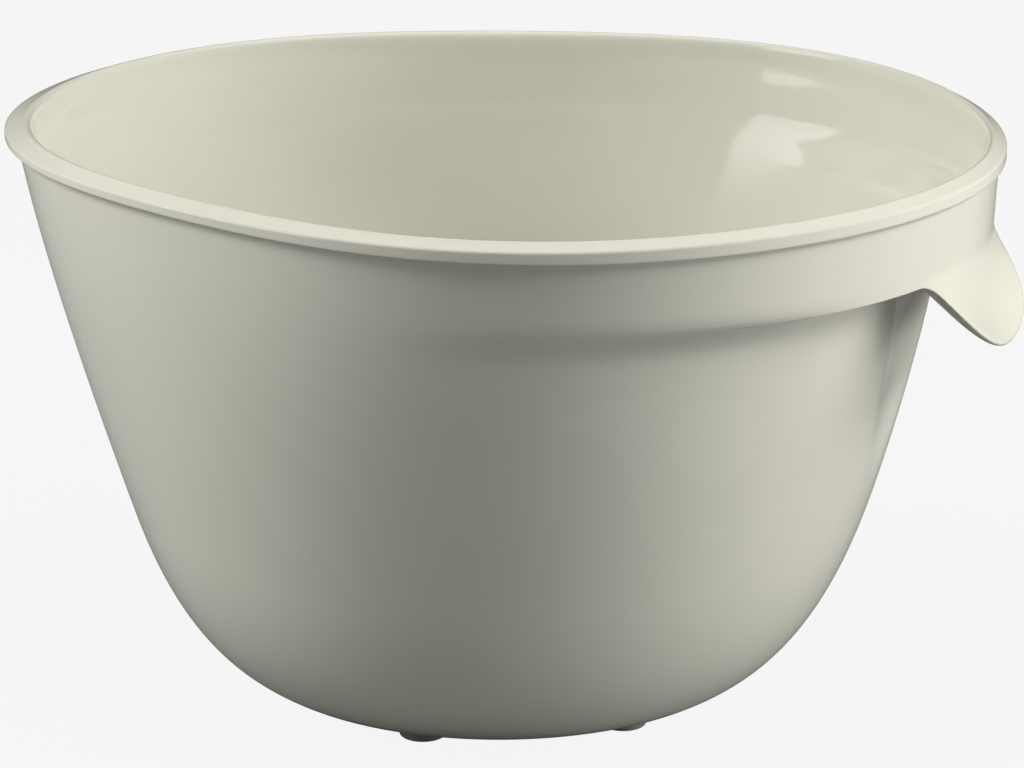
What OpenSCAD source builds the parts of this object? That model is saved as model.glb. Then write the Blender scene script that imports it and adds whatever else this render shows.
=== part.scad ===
// Batter bowl: one moulded bowl with a pouring spout, a collar and a hanging finger tongue,
// standing on six soft feet that are pushed into bosses under its floor.
// Millimetres. +X points to the tongue, -X to the spout, +Z up. The feet stand on z = 0, and the
// origin is the middle of the footprint, so the bowl's own axis lies a little behind it at axis_x.

/* [Rim] */
// Reach of the rim from the bowl's axis on the tongue's side
rim_handle = 133; // [126:0.5:140]
// Reach of the rim from the bowl's axis at the spout
rim_spout = 132; // [126:0.5:140]
// Half of the rim's width across the bowl
rim_half = 120.4; // [116:0.2:126]
// How far the plan of the rim is drawn to a point at the spout
spout_point = 3.3; // [0:0.1:4]
// How far the point is blunted at its tip
spout_blunt = 1; // [0:0.1:1.5]
// Width of the rounded lip
lip_w = 4.8; // [4:0.1:6]
// Height of the rounded lip
lip_h = 4.4; // [3.4:0.1:6]
// How far the lip stands out over the wall
lip_overhang = 2.2; // [1.8:0.1:2.8]
// Width of the lip at the tip of the spout
spout_lip_w = 9; // [6:0.1:10]
// Height of the lip at the tip of the spout
spout_lip_h = 2.2; // [1.8:0.1:4]
// Extra overhang that the lip gains at the spout
spout_overhang = 0.4; // [0:0.1:1]

/* [Body] */
// Height of the rim over the surface that the bowl stands on
height = 153.5; // [144:0.5:166]
// Thickness of the wall
wall = 2.3; // [1.8:0.1:2.8]
// Thickness of the floor
floor_t = 2.6; // [2:0.1:3.6]
// Radius of the base at its edge, before the edge is rounded
base_r = 63.5; // [60:0.5:68]
// Width of the rounding at the edge of the base
base_round = 4; // [2:0.5:6]
// Height over the base of the knee, where the wall starts to turn in
knee_h = 47; // [40:0.5:54]
// Radius of the body at the knee
knee_r = 98.4; // [94:0.2:103]
// Outward run of the wall for each millimetre that it rises at the knee
knee_lean = 0.318; // [0.27:0.002:0.36]
// Share of the knee's height that the turn to the base takes up
turn_full = 0.825; // [0.7:0.005:0.9]
// Share of the height over the knee in which the wall keeps the knee's lean
wall_full = 0.69; // [0.55:0.01:0.8]
// Power by which the round plan of the base passes into the plan of the rim
plan_power = 2.2; // [1.6:0.1:3]

/* [Collar] */
// Height of the collar, from the top of the rim to its lower edge
collar_h = 23; // [18:0.5:28]
// How far the lip stands out over the collar
collar_overhang = 1.5; // [1:0.1:2]
// Inward run of the collar for each millimetre that it goes down
collar_draft = 0.05; // [0.02:0.01:0.1]
// Half angle, either side of the tongue, over which the collar is full
collar_full = 30; // [26:1:40]
// Half angle at which the collar has run out into the wall
collar_end = 88; // [80:1:110]
// Height of the rounded lower edge of the collar
edge_h = 3; // [2.4:0.1:4]

/* [Tongue] */
// How far the tongue hangs below the collar
tongue_drop = 20.8; // [19:0.2:28]
// How far the tip of the tongue stands out from the collar
tongue_out = 10.6; // [7:0.1:14]
// Thickness of the tongue
tongue_t = 2.6; // [2:0.1:3]
// Radius of the tip of the tongue
tongue_tip_r = 32; // [26:0.5:34]
// Slope of the tongue's sides, in degrees from level
tongue_flank = 54; // [46:1:56]
// Radius of the hollow corner where a side of the tongue meets the collar
tongue_root_r = 8; // [5:0.5:9]
// Power of the outward curl of the tongue, 1 being straight
tongue_curl = 1.6; // [1.2:0.1:2.2]
// How much of the collar's roundness the tongue loses, 1 being a flat tongue
tongue_flat = 3.6; // [0:0.1:4]
// How far the wall is drawn in under the collar on the tongue's side
wall_tuck = 8; // [4:0.5:9]
// Depth of the finger recess in the wall behind the tongue
recess_depth = 4; // [2:0.5:6]
// Half angle of the finger recess, at the middle of its rounded edge
recess_half = 11.5; // [9:0.5:14]
// Half height of the finger recess, at the middle of its rounded edge
recess_h = 33; // [26:1:40]
// Drop of the finger recess's middle below the collar
recess_drop = 10; // [6:1:16]

/* [Feet] */
// Number of feet
foot_count = 6; // [3:1:8]
// Radius of the ring of feet
foot_ring_r = 53; // [48:0.5:54]
// Height of the base over the surface
foot_h = 4; // [3.4:0.1:6]
// Radius of the boss that carries a foot
boss_r = 7; // [6.6:0.1:8]
// Height of the boss below the base
boss_h = 1.4; // [1:0.1:2]
// Radius of a foot
pad_r = 6.3; // [5:0.1:6.5]
// Rounding of a foot's lower edge
pad_round = 0.8; // [0.4:0.1:1.2]
// Radius of the stem that holds a foot in its boss
stem_r = 2; // [1.5:0.1:3]
// Length of the stem
stem_l = 2.2; // [1.6:0.1:2.4]
// Clearance round the stem and over its end
stem_gap = 0.08; // [0.04:0.02:0.2]

/* [Hidden] */
$fn = 64;

bowl_colour = "#c4c3b4";
foot_colour = "#5b5c52";

// Columns of the loft, and the degrees by which they crowd toward the tongue
columns = 96;
crowd = 38;

// Power by which the spout's broad thin lip fades round the bowl
spout_fade = 2;

// The plan of the rim is a circle with waves, worked out from its three reaches
rim_long = (rim_handle + rim_spout) / 2;
rim_mean = (rim_long + rim_half) / 2;
rim_oval = (rim_long - rim_half) / 2;
rim_shift = (rim_handle - rim_spout) / 2 + spout_point - spout_blunt;

// Points and tangents of the wall's mean profile, as radius and height
base_pt = [base_r, foot_h];
knee_pt = [knee_r, foot_h + knee_h];
top_pt = [rim_mean - lip_overhang, height];
turn_ctl = knee_pt - turn_full * knee_h * [knee_lean, 1];
wall_ctl = knee_pt + wall_full * (top_pt.y - knee_pt.y) * [knee_lean, 1];

// Where the rounding of the base's edge meets the turn, and the rows along each stretch
round_end = 0.12;
round_rows = 3;
turn_rows = 6;
wall_rows = 9;

// Angle round the lip's section at its first row, and between its rows
lip_from = -60;
lip_step = 30;

// Height of the collar's lower edge, and drop below the lip and height of the groove under it
collar_z = height - collar_h;
groove_drop = 1;
groove_z = height - lip_h - groove_drop;

// The tongue's outline, as half widths along the collar: end of the round tip, of the straight
// side and of the hollow corner, with the drop at the first and the rise at the second
tip_end = tongue_tip_r * sin(tongue_flank);
tip_drop = tongue_drop - tongue_tip_r * (1 - cos(tongue_flank));
root_rise = tongue_root_r * (1 - cos(tongue_flank));
side_end = tip_end + (tip_drop - root_rise) / tan(tongue_flank);
root_end = side_end + tongue_root_r * sin(tongue_flank);

// Rows round the collar's lower edge and the tongue, from the wall outward: share of the edge's
// thickness inside the face, share of the edge's height, share of the tongue's drop
edge_rows = [
    [1, 0.30, 0], [1, 0.38, 0.5], [0.9, 0.46, 0.96], [0.5, 0.54, 1],
    [0.1, 0.62, 0.96], [0, 0.76, 0.5], [0, 1, 0]
];

// Powers of the wall's tuck over its height and of its fading round the bowl, and half width of the
// recess's rounded edge
tuck_power = 1.6;
tuck_fade = 8;
recess_edge = 0.3;

pad_h = foot_h - boss_h;
foot_step = 360 / foot_count;

// Place of the bowl's axis, so that the spout and the tongue reach equally far from the origin
tongue_reach = max([for (p = tongue_rows(0)) p.x]);
spout_reach = max([for (p = lip_points(180)) p.x]);
axis_x = (spout_reach - tongue_reach) / 2;

function ease(x) = let (t = min(max(x, 0), 1)) t * t * (3 - 2 * t);
function bezier(p, q, r, t) = (1 - t) * (1 - t) * p + 2 * t * (1 - t) * q + t * t * r;

// Reach of the rim at an angle from the tongue
function rim_r(a) = rim_mean + rim_shift * cos(a) + rim_oval * cos(2 * a)
    - spout_point * cos(3 * a) + spout_blunt * cos(5 * a);
function spout_share(a) = pow((1 - cos(a)) / 2, spout_fade);

// Difference between the wall's plan at an angle and the round mean, in full at the rim
function swell(a) = rim_r(a) - rim_mean - spout_overhang * spout_share(a);
function plan_share(z) = pow((z - foot_h) / (height - foot_h), plan_power);

// Mean radius of the wall at a height over the knee
function wall_at(z) =
    let (rise = z - knee_pt.y)
    let (b = 2 * (wall_ctl.y - knee_pt.y))
    let (a = knee_pt.y - 2 * wall_ctl.y + top_pt.y)
    bezier(knee_pt, wall_ctl, top_pt, 2 * rise / (b + sqrt(b * b + 4 * a * rise))).x;

// On the tongue's side the wall rises more steeply from the knee, to make room for fingers
function tuck(a, z) =
    wall_tuck * pow((1 + cos(a)) / 2, tuck_fade)
    * pow(max(z - knee_pt.y, 0) / (collar_z - knee_pt.y), tuck_power);

// The finger recess is a shallow oval scoop with a rounded edge, straight under the tongue
function recess(a, z) =
    let (s = norm([a / recess_half, (z - collar_z + recess_drop) / recess_h]))
    recess_depth * (1 - ease((s - 1 + recess_edge) / (2 * recess_edge)));

function body_r(a, r, z) = r + plan_share(z) * swell(a) - tuck(a, z) - recess(a, z);

// The collar stands out from the wall near the tongue and runs out toward the spout
function collar_share(a) = 1 - ease((abs(a) - collar_full) / (collar_end - collar_full));
function collar_r(a, z) = rim_r(a) - collar_overhang - collar_draft * (height - z);
function side_r(a, z) =
    let (plain = wall_at(z) + plan_share(z) * swell(a))
    plain + collar_share(a) * max(collar_r(a, z) - plain, 0);

// Drop of the tongue's edge below the collar at an angle
function drop_at(a) =
    let (y = abs(a) * PI / 180 * rim_handle)
    y < tip_end ? tongue_drop - tongue_tip_r + sqrt(pow(tongue_tip_r, 2) - y * y)
    : y < side_end ? tip_drop - (y - tip_end) * tan(tongue_flank)
    : y < root_end ? tongue_root_r - sqrt(pow(tongue_root_r, 2) - pow(root_end - y, 2))
    : 0;

// Outward and upward shift of a row on the tongue
function tongue_shift(a, share) =
    let (d = share * drop_at(a))
    let (w = d / tongue_drop)
    [tongue_out * pow(w, tongue_curl) + tongue_flat * w * (1 - cos(a)) * rim_handle, -d];

// Outer rows, from the edge of the base up to the collar's lower edge
function turn_point(t) = bezier(base_pt, turn_ctl, knee_pt, t);
function round_points() =
    let (start = [base_r - base_round, foot_h])
    [for (i = [0:round_rows - 1]) bezier(start, base_pt, turn_point(round_end), i / round_rows)];
function turn_points() =
    [for (i = [0:turn_rows]) turn_point(round_end + (1 - round_end) * i / turn_rows)];
function wall_points() =
    let (step = (collar_z - edge_h - knee_pt.y) / wall_rows)
    [for (i = [1:wall_rows]) let (z = knee_pt.y + i * step) [wall_at(z), z]];
function outer_rows(a) =
    [for (p = concat(round_points(), turn_points(), wall_points())) [body_r(a, p.x, p.y), p.y]];

function wall_r(a, z) = body_r(a, wall_at(z), z);
function tongue_rows(a) =
    [for (e = edge_rows)
        let (z = collar_z - edge_h * (1 - e[1]))
        let (thick = min(tongue_t, side_r(a, z) - wall_r(a, z)))
        [side_r(a, z) - thick * e[0], z] + tongue_shift(a, e[2])];

function face_rows(a) = [for (z = [(collar_z + groove_z) / 2, groove_z]) [side_r(a, z), z]];

// The lip is a rounded bar round the rim, from its underside over the top to its inner edge
function lip_wide(a) = lip_w + (spout_lip_w - lip_w) * spout_share(a);
function lip_high(a) = lip_h + (spout_lip_h - lip_h) * spout_share(a);
function lip_points(a) =
    [for (t = [lip_from:lip_step:180])
        [rim_r(a) - lip_wide(a) / 2 * (1 - cos(t)), height - lip_high(a) / 2 * (1 - sin(t))]];

// Inner rows, from the groove down to the floor, a wall's thickness inside the outer ones; the wall
// thickens at its top to meet the inner edge of the lip
function inner_face_rows(a) = [
    [min(side_r(a, groove_z) - wall, rim_r(a) - lip_wide(a)), groove_z],
    [side_r(a, collar_z + wall) - wall, collar_z + wall]
];
function inner_edge_rows(a) =
    let (high = inner_face_rows(a)[1])
    let (low_z = high.y - edge_h)
    let (low = [wall_r(a, low_z) - wall, low_z])
    [for (t = [0.5, 1]) high + t * (low - high)];
function inner_wall_rows(a) =
    let (top = collar_z - edge_h - wall)
    let (step = (top - knee_pt.y) / (wall_rows - 1))
    [for (i = [0:wall_rows - 2])
        let (z = top - i * step)
        [wall_r(a, z) - wall * norm([1, knee_lean]), z]];
function turn_slope(t) = (1 - t) * (turn_ctl - base_pt) + t * (knee_pt - turn_ctl);
function inner_turn_rows(a) =
    [for (i = [0:turn_rows])
        let (t = 1 - (1 - round_end) * i / turn_rows)
        let (s = turn_slope(t) / norm(turn_slope(t)))
        let (p = turn_point(t))
        [body_r(a, p.x, p.y) - wall * s.y, p.y + wall * s.x]];
function floor_row() = [[base_r - base_round, foot_h + floor_t]];

function column(a) = concat(outer_rows(a), tongue_rows(a), face_rows(a), lip_points(a),
    inner_face_rows(a), inner_edge_rows(a), inner_wall_rows(a), inner_turn_rows(a), floor_row());

function column_angle(i) = let (u = 360 * i / columns - 180) u - crowd * sin(u);

// The bowl's shell: one closed loft of columns round the axis
module shell() {
    loft = [for (i = [0:columns - 1]) column(column_angle(i))];
    rows = len(loft[0]);
    points = [
        for (i = [0:columns - 1])
            let (a = column_angle(i))
            for (p = loft[i]) [axis_x + p.x * cos(a), p.x * sin(a), p.y]
    ];
    sides = [
        for (i = [0:columns - 1], j = [0:rows - 2])
            let (p = i * rows + j)
            let (q = (i + 1) % columns * rows + j)
            for (f = [[p, p + 1, q + 1], [p, q + 1, q]]) f
    ];
    underside = [for (i = [0:columns - 1]) i * rows];
    floor_face = [for (i = [columns - 1:-1:0]) i * rows + rows - 1];
    polyhedron(points = points, faces = concat(sides, [underside, floor_face]), convexity = 10);
}

// Puts its children at the place of one foot, with the feet either side of the tongue's line
module at_foot(i) {
    angle = foot_step * (i - 0.5);
    translate([axis_x + foot_ring_r * cos(angle), foot_ring_r * sin(angle), 0]) children();
}

// Round boss under the floor
module boss() {
    translate([0, 0, pad_h]) cylinder(r = boss_r, h = boss_h + floor_t / 2);
}

// Blind socket in the boss for a foot's stem
module socket() {
    translate([0, 0, pad_h - boss_h]) cylinder(r = stem_r + stem_gap, h = boss_h + stem_l + stem_gap);
}

module bowl() {
    color(bowl_colour)
        difference() {
            union() {
                shell();
                for (i = [1:foot_count]) at_foot(i) boss();
            }
            for (i = [1:foot_count]) at_foot(i) socket();
        }
}

// Soft round foot with a stem that is pushed up into its boss
module foot(i) {
    edge = [for (t = [0:30:90]) [pad_r - pad_round * (1 - sin(t)), pad_round * (1 - cos(t))]];
    outline = concat([[0, 0]], edge,
        [[pad_r, pad_h], [stem_r, pad_h], [stem_r, pad_h + stem_l], [0, pad_h + stem_l]]);
    color(foot_colour) at_foot(i) rotate_extrude() polygon(outline);
}

bowl();
for (i = [1:foot_count]) foot(i);
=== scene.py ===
import math
import bmesh
import bpy
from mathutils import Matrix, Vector


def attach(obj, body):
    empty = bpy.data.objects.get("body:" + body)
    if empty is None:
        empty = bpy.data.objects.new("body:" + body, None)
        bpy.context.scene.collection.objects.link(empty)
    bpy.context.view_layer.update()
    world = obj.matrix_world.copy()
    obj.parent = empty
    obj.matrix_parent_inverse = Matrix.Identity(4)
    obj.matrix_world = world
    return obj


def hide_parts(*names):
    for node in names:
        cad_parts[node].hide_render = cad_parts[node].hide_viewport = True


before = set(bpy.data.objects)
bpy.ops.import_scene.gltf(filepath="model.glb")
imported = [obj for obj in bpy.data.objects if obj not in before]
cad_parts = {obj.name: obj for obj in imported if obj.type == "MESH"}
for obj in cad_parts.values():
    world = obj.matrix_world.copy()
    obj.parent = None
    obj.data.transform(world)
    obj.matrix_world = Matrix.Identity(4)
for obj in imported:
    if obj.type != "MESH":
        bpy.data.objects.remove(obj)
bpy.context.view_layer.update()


# The bowl is one injection moulding in polypropylene: base, wall, spout, lip, collar and finger
# tongue. Its section is turned round the axis by the rule of its plan: round at the base,
# egg-shaped with a spout at the rim. Sizes are millimetres and become metres at the end.
rim_handle = 132.95
rim_spout = 131.95
rim_half = 120.35
height = 153.49
wall = 2.3
floor_t = 2.6
foot_h = 4
base_r = 63.5
base_round = 4
knee_h = 47
knee_r = 98.4
knee_lean = 0.318
turn_full = 0.825
wall_full = 0.69
lip_h = 4.4
lip_overhang = 2.2
lip_slope = 1.8
collar_h = 23
edge_h = 3
tongue_drop = 20.8
tongue_tip_r = 32
tongue_root_r = 8
tongue_flank = math.radians(54)
axis_x = -3.981

rim_long = (rim_handle + rim_spout) / 2
rim_mean = (rim_long + rim_half) / 2
spout_point = 3.3
spout_blunt = 1
knee_z = foot_h + knee_h
collar_z = height - collar_h
groove_z = height - lip_h - 1
tip_end = tongue_tip_r * math.sin(tongue_flank)
tip_drop = tongue_drop - tongue_tip_r * (1 - math.cos(tongue_flank))
root_rise = tongue_root_r * (1 - math.cos(tongue_flank))
side_end = tip_end + (tip_drop - root_rise) / math.tan(tongue_flank)
root_end = side_end + tongue_root_r * math.sin(tongue_flank)

bowl_sizes = {
    "Axis x": axis_x,
    "Height": height,
    "Base height": foot_h,
    "Rim mean": rim_mean,
    "Rim shift": (rim_handle - rim_spout) / 2 + spout_point - spout_blunt,
    "Rim oval": (rim_long - rim_half) / 2,
    "Rim at tongue": rim_handle,
    "Spout point": spout_point,
    "Spout blunt": spout_blunt,
    "Spout overhang": 0.4,
    "Lip half width": 4.8 / 2,
    "Lip half height": lip_h / 2,
    "Lip slope": lip_slope,
    "Spout lip half width": 7.5 / 2,
    "Spout lip half height": 2.2 / 2,
    "Plan power": 2.2,
    "Knee height": knee_z,
    "Collar edge height": collar_z,
    "Collar overhang": 1.5,
    "Collar draft": 0.05,
    "Collar full angle": math.radians(30),
    "Collar end angle": math.radians(88),
    "Sharp edge angle": math.radians(20),
    "Soft edge angle": math.radians(50),
    "Wall tuck": 8,
    "Recess depth": 3,
    "Recess half angle": math.radians(5.5),
    "Recess half height": 33,
    "Recess middle": collar_z - 10,
    "Tongue drop": tongue_drop,
    "Tongue reach": 10.42,
    "Tongue thickness": 2.6,
    "Tongue curl": 1.6,
    "Tongue flatness": 3.6,
    "Tip radius": tongue_tip_r,
    "Tip end": tip_end,
    "Tip drop": tip_drop,
    "Flank slope": math.tan(tongue_flank),
    "Flank end": side_end,
    "Root radius": tongue_root_r,
    "Root end": root_end,
}


def ease(x):
    t = min(max(x, 0), 1)
    return t * t * (3 - 2 * t)


def bend(p, q, r, t):
    return [(1 - t) ** 2 * u + 2 * t * (1 - t) * v + t * t * w for u, v, w in zip(p, q, r)]


base_pt = (base_r, foot_h)
knee_pt = (knee_r, knee_z)
top_pt = (rim_mean - lip_overhang, height)
turn_ctl = (knee_r - turn_full * knee_h * knee_lean, knee_z - turn_full * knee_h)
wall_rise = wall_full * (height - knee_z)
wall_ctl = (knee_r + wall_rise * knee_lean, knee_z + wall_rise)


def wall_at(z):
    low, high = 0, 1
    for _ in range(40):
        t = (low + high) / 2
        if bend(knee_pt, wall_ctl, top_pt, t)[1] < z:
            low = t
        else:
            high = t
    return bend(knee_pt, wall_ctl, top_pt, t)[0]


# The section, row by row from the middle of the underside, up the outside, round the collar's
# edge and the tongue, over the lip and down the inside to the middle of the floor. Each row says
# how far it follows the collar, sharply or softly, the edge of the tongue, the tongue's drop, the
# lip, and inside the spout the flare that leads the wall out to the lip.
row_values = ("mean", "height", "lift", "inset", "side", "soft", "edge", "drop", "lip", "curve", "lip_in",
              "lip_up", "lip_fall", "flare")
section = []


def row(mean, z, **shares):
    section.append([mean, z] + [shares.get(name, 0) for name in row_values[2:]])


def steps(count):
    """Even shares from 0 up to the last one before 1."""
    return [i / count for i in range(count)]


def soft_at(z, middle):
    return ease((z - middle) / soft_h + 0.5)


soft_h = 11
soft_z = collar_z - 3.5
under_z = collar_z - edge_h
flat_r = base_r - base_round
round_end = 0.12
turn_start = bend(base_pt, turn_ctl, knee_pt, round_end)
for t in steps(5):
    row(flat_r * t, foot_h)
for t in steps(8):
    row(*bend((flat_r, foot_h), base_pt, turn_start, t))
for t in steps(28):
    row(*bend(base_pt, turn_ctl, knee_pt, round_end + (1 - round_end) * t))
for t in steps(36):
    z = knee_z + (under_z - knee_z) * t
    row(wall_at(z), z, soft=soft_at(z, soft_z))

# The collar's lower edge, in shares of its height: the ledge under the collar, the back of the
# tongue, the turn round the tongue's edge, and the tongue's face up to the collar
ledge_end = 0.3
back_end = 0.4
turn_end = 0.62
straight_drop = 0.93
for t in steps(10):
    z = under_z + edge_h * ledge_end * t
    row(wall_at(z), z, side=ease(t), soft=soft_at(z, soft_z), edge=ease(t))
for t in steps(10):
    z = under_z + edge_h * (ledge_end + (back_end - ledge_end) * t)
    row(wall_at(z), z, side=1, soft=soft_at(z, soft_z), edge=1, drop=straight_drop * t)
for t in steps(14):
    z = under_z + edge_h * (back_end + (turn_end - back_end) * t)
    edge = (1 + math.cos(math.pi * t)) / 2
    drop = straight_drop + (1 - straight_drop) * math.sin(math.pi * t)
    row(wall_at(z), z, side=1, soft=soft_at(z, soft_z), edge=edge, drop=drop)
for t in steps(12):
    z = under_z + edge_h * (turn_end + (1 - turn_end) * t)
    row(wall_at(z), z, side=1, soft=soft_at(z, soft_z), drop=straight_drop * (1 - t))
for t in steps(10) + [1]:
    z = collar_z + (groove_z - collar_z) * t
    row(wall_at(z), z, side=1, soft=soft_at(z, soft_z))


# The lip: an underside, an upright outer face with rounded corners, a top that slopes up inward to
# a crest, and a rounded inner edge. Inward and upward shares are of its half width and half height,
# and the fall is the share of the slope.
def lip_row(lip_in, lip_up, lip_fall):
    row(wall_at(groove_z), groove_z, side=1, soft=1, lip=1, curve=1,
        lip_in=lip_in, lip_up=lip_up, lip_fall=lip_fall)


under_in = -0.75
face_low = -1.5
corner_in = 0.2
corner_up = 0.25
top_start = 0.15
top_end = 0.77
crest_in = -1.5
crest_fall = -0.17
inner_in = -1.8
inner_fall = 0.2
wall_in = -2
for t in steps(3):
    lip_row(under_in - (under_in + corner_in) * t, face_low, 1)
for t in steps(6) + [1]:
    turn = math.pi / 2 * (t - 1)
    lip_row(corner_in * (math.cos(turn) - 1), face_low + corner_up * (1 + math.sin(turn)), 1)
for t in steps(4)[1:]:
    lip_row(0, face_low + corner_up - (face_low + 2 * corner_up) * t, 1)
for t in steps(6) + [1]:
    lip_row(*bend((0, -corner_up, 1), (0, 0, 1), (top_start * crest_in, 0, 1 - top_start), t))
for t in steps(4)[1:]:
    share = top_start + (top_end - top_start) * t
    lip_row(share * crest_in, 0, 1 - share)
top_stop = (top_end * crest_in, 0, 1 - top_end)
for t in steps(8) + [1]:
    lip_row(*bend(top_stop, (crest_in, 0, crest_fall), (inner_in, 0, inner_fall), t))

# The inside: down from the lip's inner edge, over the soft ledge behind the collar, along the
# wall, which thickens slowly downward, and round into the floor
inner_round = 3
inner_blend = 8
inner_draft = 0.025
flare_h = 55
inner_z = height - inner_round
inner_soft_z = collar_z - 3
ledge_z = collar_z + wall
lean_length = math.hypot(1, knee_lean)
slant_wall = wall * lean_length
edge_top = (inner_in, height - inner_fall * lip_slope)
edge_ctl = (wall_in, height - 2 * inner_fall * lip_slope)
for t in steps(12)[1:] + [1]:
    lip_in, z = bend(edge_top, edge_ctl, (wall_in, inner_z), t)
    row(wall_at(z), z, side=1, soft=1, inset=wall, curve=1, lip_in=lip_in, flare=1)
for t in steps(70)[1:-1]:
    z = inner_z + (knee_z - inner_z) * t
    down = inner_z - z
    slant = ease((ledge_z - z) / edge_h)
    thickness = wall + (slant_wall - wall) * slant + inner_draft * max(ledge_z - z, 0)
    row(wall_at(z), z, side=1 - slant, soft=soft_at(z, inner_soft_z), inset=thickness,
        curve=1 - ease(down / inner_blend), lip_in=wall_in, flare=1 - ease(down / flare_h))
knee_draft = inner_draft * (ledge_z - knee_z) / lean_length
for share in steps(24) + [1]:
    t = 1 - (1 - round_end) * share
    run = (1 - t) * (turn_ctl[0] - base_pt[0]) + t * (knee_pt[0] - turn_ctl[0])
    rise = (1 - t) * (turn_ctl[1] - base_pt[1]) + t * (knee_pt[1] - turn_ctl[1])
    length = math.hypot(run, rise)
    mean, z = bend(base_pt, turn_ctl, knee_pt, t)
    thickness = wall + knee_draft * (1 - ease(share))
    row(mean, z, inset=thickness * rise / length, lift=thickness * run / length)
floor_z = foot_h + floor_t
turn_foot = (mean - wall * rise / length, z + wall * run / length)
floor_ctl = (turn_foot[0] - (turn_foot[1] - floor_z) * run / rise, floor_z)
for t in steps(8)[1:] + [1]:
    row(*bend(turn_foot, floor_ctl, (flat_r, floor_z), t))
for t in steps(5)[1:] + [1]:
    row(flat_r * (1 - t), floor_z)


def add(tree, kind, links=(), **settings):
    made = tree.nodes.new(kind)
    for name, value in settings.items():
        setattr(made, name, value)
    pairs = links.items() if isinstance(links, dict) else enumerate(links)
    for key, value in pairs:
        if isinstance(value, bpy.types.Node):
            value = value.outputs[0]
        if isinstance(value, bpy.types.NodeSocket):
            tree.links.new(value, made.inputs[key])
        else:
            made.inputs[key].default_value = value
    return made


def linear(code):
    """The colour of an sRGB hex value, as the shaders want it."""
    parts = [int(code[i:i + 2], 16) / 255 for i in (1, 3, 5)]
    return [p / 12.92 if p <= 0.04045 else ((p + 0.055) / 1.055) ** 2.4 for p in parts] + [1]


# Injection-moulded polypropylene with a satin gloss: an even grey-green right through, with a
# faint cloudiness from the flow of the melt, a slight orange peel about 5 mm across from the
# mould's polish, and a fine grain that breaks the edges of reflections. The grain of the real
# one is about 0.1 mm; it is drawn at 0.6 mm so that it shows.
polypropylene = bpy.data.materials.new("moulded_polypropylene_sage")
polypropylene.use_nodes = True
tree = polypropylene.node_tree
plastic = tree.nodes["Principled BSDF"]
plastic.inputs["IOR"].default_value = 1.49
cloud_size = 0.045
peel_size = 0.005
grain_size = 0.0006
spot = add(tree, "ShaderNodeTexCoord").outputs["Object"]
cloud = add(tree, "ShaderNodeTexNoise", {"Vector": spot, "Scale": 1 / cloud_size, "Detail": 3})
tint = add(tree, "ShaderNodeMix", {0: cloud, 6: linear("#cac9bb"), 7: linear("#d0cfc2")}, data_type="RGBA")
peel = add(tree, "ShaderNodeTexNoise", {"Vector": spot, "Scale": 1 / peel_size, "Detail": 1})
grain = add(tree, "ShaderNodeTexNoise", {"Vector": spot, "Scale": 1 / grain_size, "Detail": 2})
gloss = add(tree, "ShaderNodeMapRange", [grain, 0.3, 0.7, 0.08, 0.12])
peel_bump = add(tree, "ShaderNodeBump", {"Strength": 0.25, "Distance": 0.00002, "Height": peel})
grain_bump = add(tree, "ShaderNodeBump",
                 {"Strength": 0.2, "Distance": 0.000005, "Height": grain, "Normal": peel_bump})
tree.links.new(tint.outputs[2], plastic.inputs["Base Color"])
tree.links.new(gloss.outputs[0], plastic.inputs["Roughness"])
tree.links.new(grain_bump.outputs[0], plastic.inputs["Normal"])

# The plan's rule as a node tree: a grid of columns by rows is wrapped round the axis, and each
# point takes its reach from the wall, the collar, the tongue or the lip.
bowl_tree = bpy.data.node_groups.new("bowl_turned_by_its_plan", "GeometryNodeTree")
bowl_tree.interface.new_socket("Geometry", in_out="INPUT", socket_type="NodeSocketGeometry")
columns_socket = bowl_tree.interface.new_socket("Columns", in_out="INPUT", socket_type="NodeSocketInt")
crowd_socket = bowl_tree.interface.new_socket("Crowding", in_out="INPUT", socket_type="NodeSocketFloat")
size_sockets = {}
for name in bowl_sizes:
    size_sockets[name] = bowl_tree.interface.new_socket(name, in_out="INPUT", socket_type="NodeSocketFloat")
bowl_tree.interface.new_socket("Geometry", in_out="OUTPUT", socket_type="NodeSocketGeometry")
given = add(bowl_tree, "NodeGroupInput").outputs
MATH = "ShaderNodeMath"

row_count = add(bowl_tree, "GeometryNodeAttributeDomainSize", [given["Geometry"]], component="MESH")
edge_columns = add(bowl_tree, MATH, [given["Columns"], 1], operation="ADD")
grid = add(bowl_tree, "GeometryNodeMeshGrid", {"Vertices X": edge_columns, "Vertices Y": row_count})
index = add(bowl_tree, "GeometryNodeInputIndex")
row_number = add(bowl_tree, "FunctionNodeIntegerMath", [index, row_count], operation="MODULO")
column_number = add(bowl_tree, "FunctionNodeIntegerMath", [index, row_count], operation="DIVIDE_FLOOR")
at_row = {}
for name in row_values:
    value = add(bowl_tree, "GeometryNodeInputNamedAttribute", [name], data_type="FLOAT")
    at_row[name] = add(bowl_tree, "GeometryNodeSampleIndex",
                       [given["Geometry"], value, row_number], data_type="FLOAT", domain="POINT")

# Angle of each column from the tongue, closer together at the tongue
step = add(bowl_tree, MATH, [2 * math.pi, given["Columns"]], operation="DIVIDE")
even = add(bowl_tree, MATH, [column_number, step, -math.pi], operation="MULTIPLY_ADD")
even_sine = add(bowl_tree, MATH, [even], operation="SINE")
pull = add(bowl_tree, MATH, [even_sine, given["Crowding"]], operation="MULTIPLY")
angle = add(bowl_tree, MATH, [even, pull], operation="SUBTRACT")
cosine = add(bowl_tree, MATH, [angle], operation="COSINE")
sine = add(bowl_tree, MATH, [angle], operation="SINE")
around = add(bowl_tree, MATH, [angle], operation="ABSOLUTE")

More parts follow.
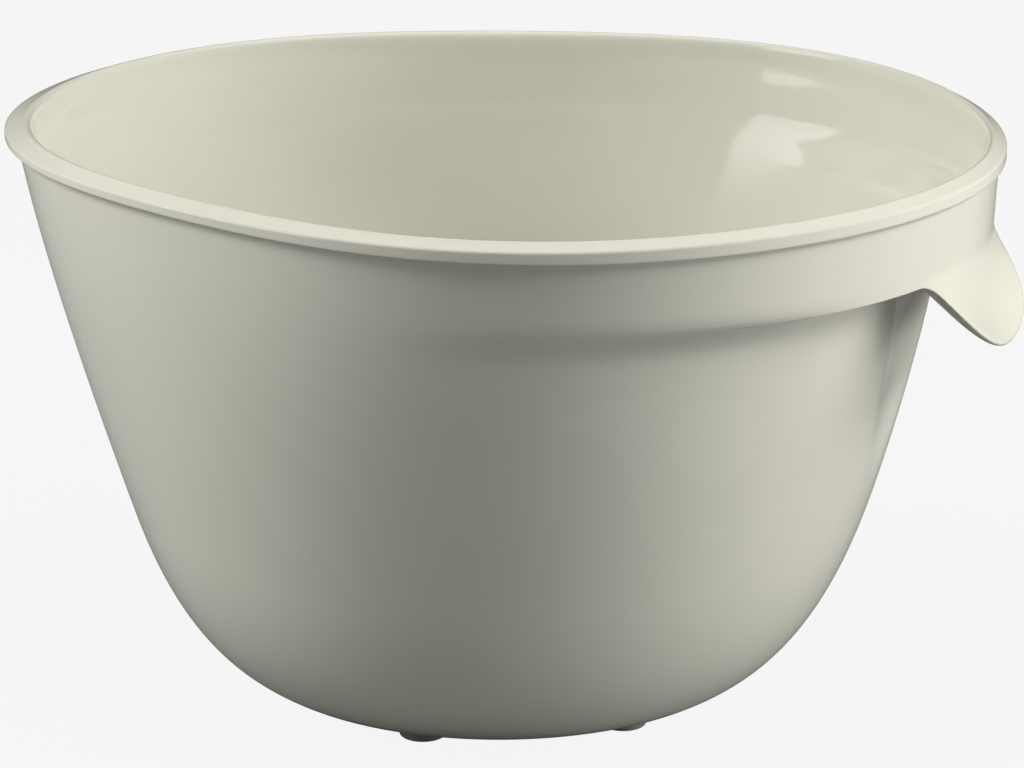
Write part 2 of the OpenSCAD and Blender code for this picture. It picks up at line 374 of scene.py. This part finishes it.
# Reach of the rim: a circle with waves that draw out the spout
rim = add(bowl_tree, MATH, [cosine, given["Rim shift"], given["Rim mean"]], operation="MULTIPLY_ADD")
for times, name, sign in ((2, "Rim oval", 1), (3, "Spout point", -1), (5, "Spout blunt", 1)):
    many = add(bowl_tree, MATH, [angle, times], operation="MULTIPLY")
    wave = add(bowl_tree, MATH, [many], operation="COSINE")
    signed_wave = add(bowl_tree, MATH, [wave, sign], operation="MULTIPLY")
    rim = add(bowl_tree, MATH, [signed_wave, given[name], rim], operation="MULTIPLY_ADD")
to_spout = add(bowl_tree, MATH, [cosine, -0.5, 0.5], operation="MULTIPLY_ADD")
spout_share = add(bowl_tree, MATH, [to_spout, 2], operation="POWER")
spout_back = add(bowl_tree, MATH, [spout_share, given["Spout overhang"]], operation="MULTIPLY")
rim_swell = add(bowl_tree, MATH, [rim, given["Rim mean"]], operation="SUBTRACT")
swell = add(bowl_tree, MATH, [rim_swell, spout_back], operation="SUBTRACT")

# The wall: its mean radius and the share of the rim's plan at its height
up = add(bowl_tree, "ShaderNodeMapRange", [at_row["height"], given["Base height"], given["Height"], 0, 1])
plan_share = add(bowl_tree, MATH, [up, given["Plan power"]], operation="POWER")
plain = add(bowl_tree, MATH, [plan_share, swell, at_row["mean"]], operation="MULTIPLY_ADD")

# On the tongue's side the wall is drawn in, and a finger recess is scooped out of it. The draw is
# narrow round the bowl and comes late on the way up; the recess has a flat middle that fades out.
tuck_narrow = 8
tuck_late = 1.6
recess_flat = 0.25
recess_fade = 1.75
to_tongue = add(bowl_tree, MATH, [cosine, 0.5, 0.5], operation="MULTIPLY_ADD")
tuck_round = add(bowl_tree, MATH, [to_tongue, tuck_narrow], operation="POWER")
tuck_up = add(bowl_tree, "ShaderNodeMapRange",
              [at_row["height"], given["Knee height"], given["Collar edge height"], 0, 1])
tuck_rise = add(bowl_tree, MATH, [tuck_up, tuck_late], operation="POWER")
tuck_share = add(bowl_tree, MATH, [tuck_round, tuck_rise], operation="MULTIPLY")
tuck = add(bowl_tree, MATH, [tuck_share, given["Wall tuck"]], operation="MULTIPLY")
recess_across = add(bowl_tree, MATH, [angle, given["Recess half angle"]], operation="DIVIDE")
recess_off = add(bowl_tree, MATH, [at_row["height"], given["Recess middle"]], operation="SUBTRACT")
recess_up = add(bowl_tree, MATH, [recess_off, given["Recess half height"]], operation="DIVIDE")
recess_place = add(bowl_tree, "ShaderNodeCombineXYZ", [recess_across, recess_up])
recess_far = add(bowl_tree, "ShaderNodeVectorMath", [recess_place], operation="LENGTH")
recess = add(bowl_tree, "ShaderNodeMapRange",
             [recess_far.outputs["Value"], recess_flat, recess_fade, given["Recess depth"], 0],
             interpolation_type="SMOOTHSTEP")
tucked = add(bowl_tree, MATH, [plain, tuck], operation="SUBTRACT")
body = add(bowl_tree, MATH, [tucked, recess], operation="SUBTRACT")

# The collar stands out round the tongue and runs out into the wall toward the spout
collar_share = add(bowl_tree, "ShaderNodeMapRange",
                   [around, given["Collar full angle"], given["Collar end angle"], 1, 0],
                   interpolation_type="SMOOTHSTEP")
below_rim = add(bowl_tree, MATH, [given["Height"], at_row["height"]], operation="SUBTRACT")
drafted = add(bowl_tree, MATH, [below_rim, given["Collar draft"], given["Collar overhang"]],
              operation="MULTIPLY_ADD")
collar = add(bowl_tree, MATH, [rim, drafted], operation="SUBTRACT")
stand_off = add(bowl_tree, MATH, [collar, plain], operation="SUBTRACT")
stand_out = add(bowl_tree, MATH, [stand_off, 0], operation="MAXIMUM")
side = add(bowl_tree, MATH, [stand_out, collar_share, plain], operation="MULTIPLY_ADD")
side_gap = add(bowl_tree, MATH, [side, body], operation="SUBTRACT")
thick = add(bowl_tree, MATH, [side_gap, given["Tongue thickness"]], operation="MINIMUM")

# Outline of the tongue: a round tip, straight flanks and hollow corners at the collar
along = add(bowl_tree, MATH, [around, given["Rim at tongue"]], operation="MULTIPLY")
tip_square = add(bowl_tree, MATH, [given["Tip radius"], 2], operation="POWER")
along_square = add(bowl_tree, MATH, [along, 2], operation="POWER")
tip_left = add(bowl_tree, MATH, [tip_square, along_square], operation="SUBTRACT")
tip_inside = add(bowl_tree, MATH, [tip_left, 0], operation="MAXIMUM")
tip_chord = add(bowl_tree, MATH, [tip_inside], operation="SQRT")
tip_middle = add(bowl_tree, MATH, [given["Tongue drop"], given["Tip radius"]], operation="SUBTRACT")
tip_edge = add(bowl_tree, MATH, [tip_middle, tip_chord], operation="ADD")
past_tip = add(bowl_tree, MATH, [along, given["Tip end"]], operation="SUBTRACT")
flank_rise = add(bowl_tree, MATH, [past_tip, given["Flank slope"]], operation="MULTIPLY")
flank_edge = add(bowl_tree, MATH, [given["Tip drop"], flank_rise], operation="SUBTRACT")
to_root = add(bowl_tree, MATH, [given["Root end"], along], operation="SUBTRACT")
to_root_inside = add(bowl_tree, MATH, [to_root, 0], operation="MAXIMUM")
root_far = add(bowl_tree, MATH, [to_root_inside, 2], operation="POWER")
root_square = add(bowl_tree, MATH, [given["Root radius"], 2], operation="POWER")
root_left = add(bowl_tree, MATH, [root_square, root_far], operation="SUBTRACT")
root_inside = add(bowl_tree, MATH, [root_left, 0], operation="MAXIMUM")
root_chord = add(bowl_tree, MATH, [root_inside], operation="SQRT")
root_edge = add(bowl_tree, MATH, [given["Root radius"], root_chord], operation="SUBTRACT")
on_tip = add(bowl_tree, MATH, [along, given["Tip end"]], operation="LESS_THAN")
on_flank = add(bowl_tree, MATH, [along, given["Flank end"]], operation="LESS_THAN")
lower_edge = add(bowl_tree, "ShaderNodeMix", {0: on_flank, 2: root_edge, 3: flank_edge})
tongue_edge = add(bowl_tree, "ShaderNodeMix", {0: on_tip, 2: lower_edge, 3: tip_edge})

# The tongue hangs down, curls outward and loses some of the collar's roundness
hang = add(bowl_tree, MATH, [tongue_edge, at_row["drop"]], operation="MULTIPLY")
hang_share = add(bowl_tree, MATH, [hang, given["Tongue drop"]], operation="DIVIDE")
curled = add(bowl_tree, MATH, [hang_share, given["Tongue curl"]], operation="POWER")
curl_out = add(bowl_tree, MATH, [curled, given["Tongue reach"]], operation="MULTIPLY")
roundness = add(bowl_tree, MATH, [1, cosine], operation="SUBTRACT")
sagitta = add(bowl_tree, MATH, [roundness, given["Rim at tongue"]], operation="MULTIPLY")
flatten = add(bowl_tree, MATH, [hang_share, given["Tongue flatness"]], operation="MULTIPLY")
tongue_out = add(bowl_tree, MATH, [sagitta, flatten, curl_out], operation="MULTIPLY_ADD")

# The lip runs round the rim, wider and thinner at the spout, and its top falls outward
lip_w = add(bowl_tree, "ShaderNodeMix",
            {0: spout_share, 2: given["Lip half width"], 3: given["Spout lip half width"]})
lip_t = add(bowl_tree, "ShaderNodeMix",
            {0: spout_share, 2: given["Lip half height"], 3: given["Spout lip half height"]})
lip_reach = add(bowl_tree, MATH, [lip_w, at_row["lip_in"], rim], operation="MULTIPLY_ADD")
lip_fall = add(bowl_tree, MATH, [at_row["lip_fall"], given["Lip slope"]], operation="MULTIPLY")
lip_edge = add(bowl_tree, MATH, [given["Height"], lip_fall], operation="SUBTRACT")
lip_top = add(bowl_tree, MATH, [lip_t, at_row["lip_up"], lip_edge], operation="MULTIPLY_ADD")

# Reach and height of each point, wrapped round the bowl's axis. Away from the tongue the collar's
# lower edge turns from a sharp ledge into a soft swelling of the wall.
softness = add(bowl_tree, "ShaderNodeMapRange",
               [around, given["Sharp edge angle"], given["Soft edge angle"], 0, 1],
               interpolation_type="SMOOTHSTEP")
sharpness = add(bowl_tree, MATH, [1, softness], operation="SUBTRACT")
side_share = add(bowl_tree, "ShaderNodeMix", {0: softness, 2: at_row["side"], 3: at_row["soft"]})
edge_share = add(bowl_tree, MATH, [at_row["edge"], sharpness], operation="MULTIPLY")
face = add(bowl_tree, "ShaderNodeMix", {0: side_share, 2: body, 3: side})
edge_in = add(bowl_tree, MATH, [edge_share, thick, at_row["inset"]], operation="MULTIPLY_ADD")
lip_extra = add(bowl_tree, MATH, [lip_w, given["Lip half width"]], operation="SUBTRACT")
lip_whole = add(bowl_tree, MATH, [lip_extra, 2], operation="MULTIPLY")
all_in = add(bowl_tree, MATH, [lip_whole, at_row["flare"], edge_in], operation="MULTIPLY_ADD")
face_in = add(bowl_tree, MATH, [face, all_in], operation="SUBTRACT")
face_out = add(bowl_tree, MATH, [face_in, tongue_out], operation="ADD")
reach = add(bowl_tree, "ShaderNodeMix", {0: at_row["curve"], 2: face_out, 3: lip_reach})
lifted = add(bowl_tree, MATH, [at_row["height"], at_row["lift"]], operation="ADD")
hung = add(bowl_tree, MATH, [lifted, hang], operation="SUBTRACT")
level = add(bowl_tree, "ShaderNodeMix", {0: at_row["lip"], 2: hung, 3: lip_top})
point_x = add(bowl_tree, MATH, [reach, cosine, given["Axis x"]], operation="MULTIPLY_ADD")
point_y = add(bowl_tree, MATH, [reach, sine], operation="MULTIPLY")
point = add(bowl_tree, "ShaderNodeCombineXYZ", [point_x, point_y, level])
metres = add(bowl_tree, "ShaderNodeVectorMath", {0: point, "Scale": 0.001}, operation="SCALE")
placed = add(bowl_tree, "GeometryNodeSetPosition", {"Geometry": grid, "Position": metres})
closed = add(bowl_tree, "GeometryNodeMergeByDistance", {"Geometry": placed, "Distance": 0.000002})
smooth = add(bowl_tree, "GeometryNodeSetShadeSmooth", [closed])
solid = add(bowl_tree, "GeometryNodeRealizeInstances", [smooth])
coloured = add(bowl_tree, "GeometryNodeSetMaterial", {"Geometry": solid, "Material": polypropylene})
add(bowl_tree, "NodeGroupOutput", [coloured])

section_mesh = bpy.data.meshes.new("bowl_section")
section_mesh.from_pydata([(line[0] / 1000, 0, line[1] / 1000) for line in section], [], [])
for i, name in enumerate(row_values):
    values = section_mesh.attributes.new(name, "FLOAT", "POINT")
    values.data.foreach_set("value", [float(line[i]) for line in section])
bowl_maker = bpy.data.objects.new("bowl_maker", section_mesh)
bpy.context.scene.collection.objects.link(bowl_maker)
turning = bowl_maker.modifiers.new("turned", "NODES")
turning.node_group = bowl_tree
turning[columns_socket.identifier] = 320
turning[crowd_socket.identifier] = math.radians(38)
for name, value in bowl_sizes.items():
    turning[size_sockets[name].identifier] = float(value)


def settle(maker, name):
    """The maker's finished shape as a plain mesh; the maker itself goes."""
    graph = bpy.context.evaluated_depsgraph_get()
    mesh = bpy.data.meshes.new_from_object(maker.evaluated_get(graph))
    mesh.name = name
    for part in list(maker.modifiers):
        maker.modifiers.remove(part)
    bpy.data.objects.remove(maker)
    return mesh


shell_mesh = settle(bowl_maker, "bowl_shell")


# Under the floor the same moulding carries six round bosses, each with a blind socket for a
# foot's stem. A boss is a turned section with a rounded lower edge, repeated on a ring.
foot_count = 6
foot_ring_r = 53
boss_r = 7
boss_h = 1.4
stem_r = 2
stem_l = 2.2
stem_gap = 0.08
pad_h = foot_h - boss_h
boss_round = 0.5
boss_top = foot_h + floor_t / 2
socket_r = stem_r + stem_gap
socket_top = pad_h + stem_l + stem_gap
boss_line = [(0, socket_top), (socket_r, socket_top), (socket_r, pad_h)]
for t in steps(6) + [1]:
    turn = math.pi / 2 * t
    edge_r = boss_r - boss_round * (1 - math.sin(turn))
    boss_line.append((edge_r, pad_h + boss_round * (1 - math.cos(turn))))
boss_line += [(boss_r, boss_top), (0, boss_top)]

turned_tree = bpy.data.node_groups.new("turned_section_on_a_ring", "GeometryNodeTree")
turned_tree.interface.new_socket("Geometry", in_out="INPUT", socket_type="NodeSocketGeometry")
ring_sockets = {}
for name, kind in (("Columns", "Int"), ("Count", "Int"), ("Ring radius", "Float"), ("First angle", "Float"),
                   ("Step angle", "Float"), ("Axis x", "Float"), ("Finish", "Material")):
    ring_sockets[name] = turned_tree.interface.new_socket(
        name, in_out="INPUT", socket_type="NodeSocket" + kind).identifier
turned_tree.interface.new_socket("Geometry", in_out="OUTPUT", socket_type="NodeSocketGeometry")
given = add(turned_tree, "NodeGroupInput").outputs
row_count = add(turned_tree, "GeometryNodeAttributeDomainSize", [given["Geometry"]], component="MESH")
edge_columns = add(turned_tree, MATH, [given["Columns"], 1], operation="ADD")
grid = add(turned_tree, "GeometryNodeMeshGrid", {"Vertices X": edge_columns, "Vertices Y": row_count})
index = add(turned_tree, "GeometryNodeInputIndex")
row_number = add(turned_tree, "FunctionNodeIntegerMath", [index, row_count], operation="MODULO")
column_number = add(turned_tree, "FunctionNodeIntegerMath", [index, row_count], operation="DIVIDE_FLOOR")
place = add(turned_tree, "GeometryNodeInputPosition")
line_point = add(turned_tree, "GeometryNodeSampleIndex",
                 {"Geometry": given["Geometry"], "Value": place, "Index": row_number},
                 data_type="FLOAT_VECTOR", domain="POINT")
step = add(turned_tree, MATH, [2 * math.pi, given["Columns"]], operation="DIVIDE")
angle = add(turned_tree, MATH, [column_number, step], operation="MULTIPLY")
turned = add(turned_tree, "ShaderNodeVectorRotate", {"Vector": line_point, "Angle": angle},
             rotation_type="Z_AXIS")
placed = add(turned_tree, "GeometryNodeSetPosition", {"Geometry": grid, "Position": turned})
closed = add(turned_tree, "GeometryNodeMergeByDistance", {"Geometry": placed, "Distance": 0.000002})
number = add(turned_tree, "GeometryNodeInputIndex")
spread = add(turned_tree, MATH, [number, given["Step angle"], given["First angle"]],
             operation="MULTIPLY_ADD")
spread_cosine = add(turned_tree, MATH, [spread], operation="COSINE")
spread_sine = add(turned_tree, MATH, [spread], operation="SINE")
ring_x = add(turned_tree, MATH, [spread_cosine, given["Ring radius"], given["Axis x"]],
             operation="MULTIPLY_ADD")
ring_y = add(turned_tree, MATH, [spread_sine, given["Ring radius"]], operation="MULTIPLY")
ring_place = add(turned_tree, "ShaderNodeCombineXYZ", [ring_x, ring_y])
ring = add(turned_tree, "GeometryNodePoints", {"Count": given["Count"], "Position": ring_place})
copies = add(turned_tree, "GeometryNodeInstanceOnPoints", {"Points": ring, "Instance": closed})
solid = add(turned_tree, "GeometryNodeRealizeInstances", [copies])
smooth = add(turned_tree, "GeometryNodeSetShadeSmooth", [solid])
finished = add(turned_tree, "GeometryNodeSetMaterial", {"Geometry": smooth, "Material": given["Finish"]})
add(turned_tree, "NodeGroupOutput", [finished])


def turned_piece(name, line, columns, count, ring_radius, first_angle, finish):
    """A section line, turned about its own axis and set once or more on a ring under the bowl."""
    mesh = bpy.data.meshes.new(name)
    mesh.from_pydata([(r / 1000, 0, z / 1000) for r, z in line], [], [])
    maker = bpy.data.objects.new(name + "_maker", mesh)
    bpy.context.scene.collection.objects.link(maker)
    turning = maker.modifiers.new("turned", "NODES")
    turning.node_group = turned_tree
    turning[ring_sockets["Columns"]] = columns
    turning[ring_sockets["Count"]] = count
    turning[ring_sockets["Ring radius"]] = ring_radius / 1000
    turning[ring_sockets["First angle"]] = first_angle
    turning[ring_sockets["Step angle"]] = 2 * math.pi / foot_count
    turning[ring_sockets["Axis x"]] = axis_x / 1000
    turning[ring_sockets["Finish"]] = finish
    return settle(maker, name)


half_step = math.pi / foot_count
boss_mesh = turned_piece("bosses", boss_line, 64, foot_count, foot_ring_r, half_step, polypropylene)
joined = bmesh.new()
joined.from_mesh(shell_mesh)
joined.from_mesh(boss_mesh)
bowl_mesh = bpy.data.meshes.new("bowl_moulding")
joined.to_mesh(bowl_mesh)
joined.free()
bowl_mesh.materials.append(polypropylene)
bowl = bpy.data.objects.new("bowl_moulding", bowl_mesh)
bpy.context.scene.collection.objects.link(bowl)
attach(bowl, "root")
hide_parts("bowl")


# Six soft non-slip feet, moulded in thermoplastic rubber. Each is a round pad with a rounded
# lower edge and a shallow hollow in its sole, held by a stem pushed up into the boss's socket.
pad_r = 6.3
pad_round = 0.8
sole_r = 4.2
sole_hollow = 0.25
pad_top_round = 0.3
sole_slope = 0.6
foot_line = [(0, sole_hollow), (sole_r - sole_slope, sole_hollow)]
for t in steps(4)[1:] + [1]:
    foot_line.append((sole_r - sole_slope * (1 - t), sole_hollow * (1 - ease(t))))
for t in steps(8) + [1]:
    turn = math.pi / 2 * t
    foot_line.append((pad_r - pad_round * (1 - math.sin(turn)), pad_round * (1 - math.cos(turn))))
for t in steps(5) + [1]:
    turn = math.pi / 2 * t
    edge_r = pad_r - pad_top_round * (1 - math.cos(turn))
    foot_line.append((edge_r, pad_h - pad_top_round * (1 - math.sin(turn))))
foot_line += [(stem_r, pad_h), (stem_r, pad_h + stem_l), (0, pad_h + stem_l)]

# Thermoplastic rubber straight from a spark-eroded mould: dark, matte, with a dry grain about
# 0.2 mm across, drawn at 0.5 mm so that it shows, and paler patches of dust from handling.
rubber_grey = bpy.data.materials.new("moulded_thermoplastic_rubber")
rubber_grey.use_nodes = True
tree = rubber_grey.node_tree
rubber = tree.nodes["Principled BSDF"]
rubber.inputs["IOR"].default_value = 1.51
dust_size = 0.004
pit_size = 0.0005
spot = add(tree, "ShaderNodeTexCoord").outputs["Object"]
dust = add(tree, "ShaderNodeTexNoise", {"Vector": spot, "Scale": 1 / dust_size, "Detail": 4})
dust_tint = add(tree, "ShaderNodeMix", {0: dust, 6: linear("#8e8f83"), 7: linear("#9c9d91")},
                data_type="RGBA")
pits = add(tree, "ShaderNodeTexNoise", {"Vector": spot, "Scale": 1 / pit_size, "Detail": 2})
dryness = add(tree, "ShaderNodeMapRange", [dust, 0.3, 0.7, 0.62, 0.78])
pit_bump = add(tree, "ShaderNodeBump", {"Strength": 0.4, "Distance": 0.00004, "Height": pits})
tree.links.new(dust_tint.outputs[2], rubber.inputs["Base Color"])
tree.links.new(dryness.outputs[0], rubber.inputs["Roughness"])
tree.links.new(pit_bump.outputs[0], rubber.inputs["Normal"])

for i in range(foot_count):
    name = "foot_pad_" + str(i + 1)
    turn = half_step + 2 * half_step * i
    foot_mesh = turned_piece(name, foot_line, 64, 1, foot_ring_r, turn, rubber_grey)
    foot = bpy.data.objects.new(name, foot_mesh)
    bpy.context.scene.collection.objects.link(foot)
    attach(foot, "root")
    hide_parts("foot_" + str(i + 1))


# Studio floor: a plain white sweep that the bowl stands on. The camera sees it near white, and
# the light that the bowl keeps off it still shows as a soft shadow.
floor_mesh = bpy.data.meshes.new("studio_floor")
side = 4
floor_mesh.from_pydata([(-side, -side, 0), (side, -side, 0), (side, side, 0), (-side, side, 0)],
                       [], [(0, 1, 2, 3)])
floor = bpy.data.objects.new("studio_floor", floor_mesh)
bpy.context.scene.collection.objects.link(floor)
white_sweep = bpy.data.materials.new("white_painted_sweep")
white_sweep.use_nodes = True
tree = white_sweep.node_tree
tree.nodes.clear()
seen = add(tree, "ShaderNodeLightPath")
glow_share = add(tree, MATH, [seen.outputs["Is Camera Ray"], 0.9], operation="MULTIPLY")
paint = add(tree, "ShaderNodeBsdfDiffuse", {"Color": linear("#7c7c7c")})
glow = add(tree, "ShaderNodeEmission", {"Color": linear("#ffffff"), "Strength": 1.0})
sweep = add(tree, "ShaderNodeMixShader", [glow_share, paint, glow])
add(tree, "ShaderNodeOutputMaterial", [sweep])
floor_mesh.materials.append(white_sweep)

# The room beyond the lamps is dark, and the camera sees a white backdrop
world = bpy.data.worlds.new("studio")
bpy.context.scene.world = world
world.use_nodes = True
tree = world.node_tree
tree.nodes.clear()
seen = add(tree, "ShaderNodeLightPath")
room = add(tree, "ShaderNodeBackground", {"Color": linear("#ffffff"), "Strength": 0.0})
backdrop = add(tree, "ShaderNodeBackground", {"Color": linear("#ffffff"), "Strength": 1.0})
sky = add(tree, "ShaderNodeMixShader", [seen.outputs["Is Camera Ray"], room, backdrop])
add(tree, "ShaderNodeOutputWorld", [sky])


# Studio light: soft boxes high on the left and on the right, a low one on the right, a weak one
# overhead that fills the inside, and a window panel at the left. Only the window panel shows in
# the plastic's gloss, as the pale patches inside the bowl.
lamp_aim = Vector((0, 0, 0.1))


def soft_box(name, place, width, depth, watts, mirrored):
    lamp = bpy.data.lights.new(name, "AREA")
    lamp.shape = "RECTANGLE"
    lamp.size = width
    lamp.size_y = depth
    lamp.energy = watts
    box = bpy.data.objects.new(name, lamp)
    bpy.context.scene.collection.objects.link(box)
    box.location = place
    box.rotation_euler = (lamp_aim - box.location).to_track_quat("-Z", "Y").to_euler()
    box.visible_glossy = mirrored


soft_box("soft_box_left", (-0.95, -0.47, 0.82), 0.6, 0.4, 12.5, False)
soft_box("window_left", (-0.99, -0.77, 0.42), 0.7, 0.7, 5, True)
soft_box("soft_box_right_low", (1.26, 0.18, 0.21), 1.0, 0.4, 8.5, False)
soft_box("soft_box_right_high", (1.05, 0.15, 0.82), 1.0, 0.4, 15.5, False)
soft_box("soft_box_overhead", (-0.1, -0.2, 1.31), 1.1, 0.7, 5, False)

# The camera stands in front, turned a little toward the tongue, and looks down at the bowl.
camera_data = bpy.data.cameras.new("camera")
camera_data.lens = 133.59
camera_data.sensor_width = 36
camera_data.shift_x = 0.0127
camera_data.shift_y = 0.0069
camera_data.clip_end = 50
camera = bpy.data.objects.new("camera", camera_data)
bpy.context.scene.collection.objects.link(camera)
camera_turn = math.radians(22)
camera_far = 0.9734
camera_h = 0.3815
aim = Vector((axis_x / 1000, 0, 0.07875))
camera.location = (aim.x + camera_far * math.sin(camera_turn), -camera_far * math.cos(camera_turn), camera_h)
camera.rotation_euler = (aim - camera.location).to_track_quat("-Z", "Y").to_euler()
bpy.context.scene.camera = camera
bpy.context.scene.view_settings.view_transform = "Standard"
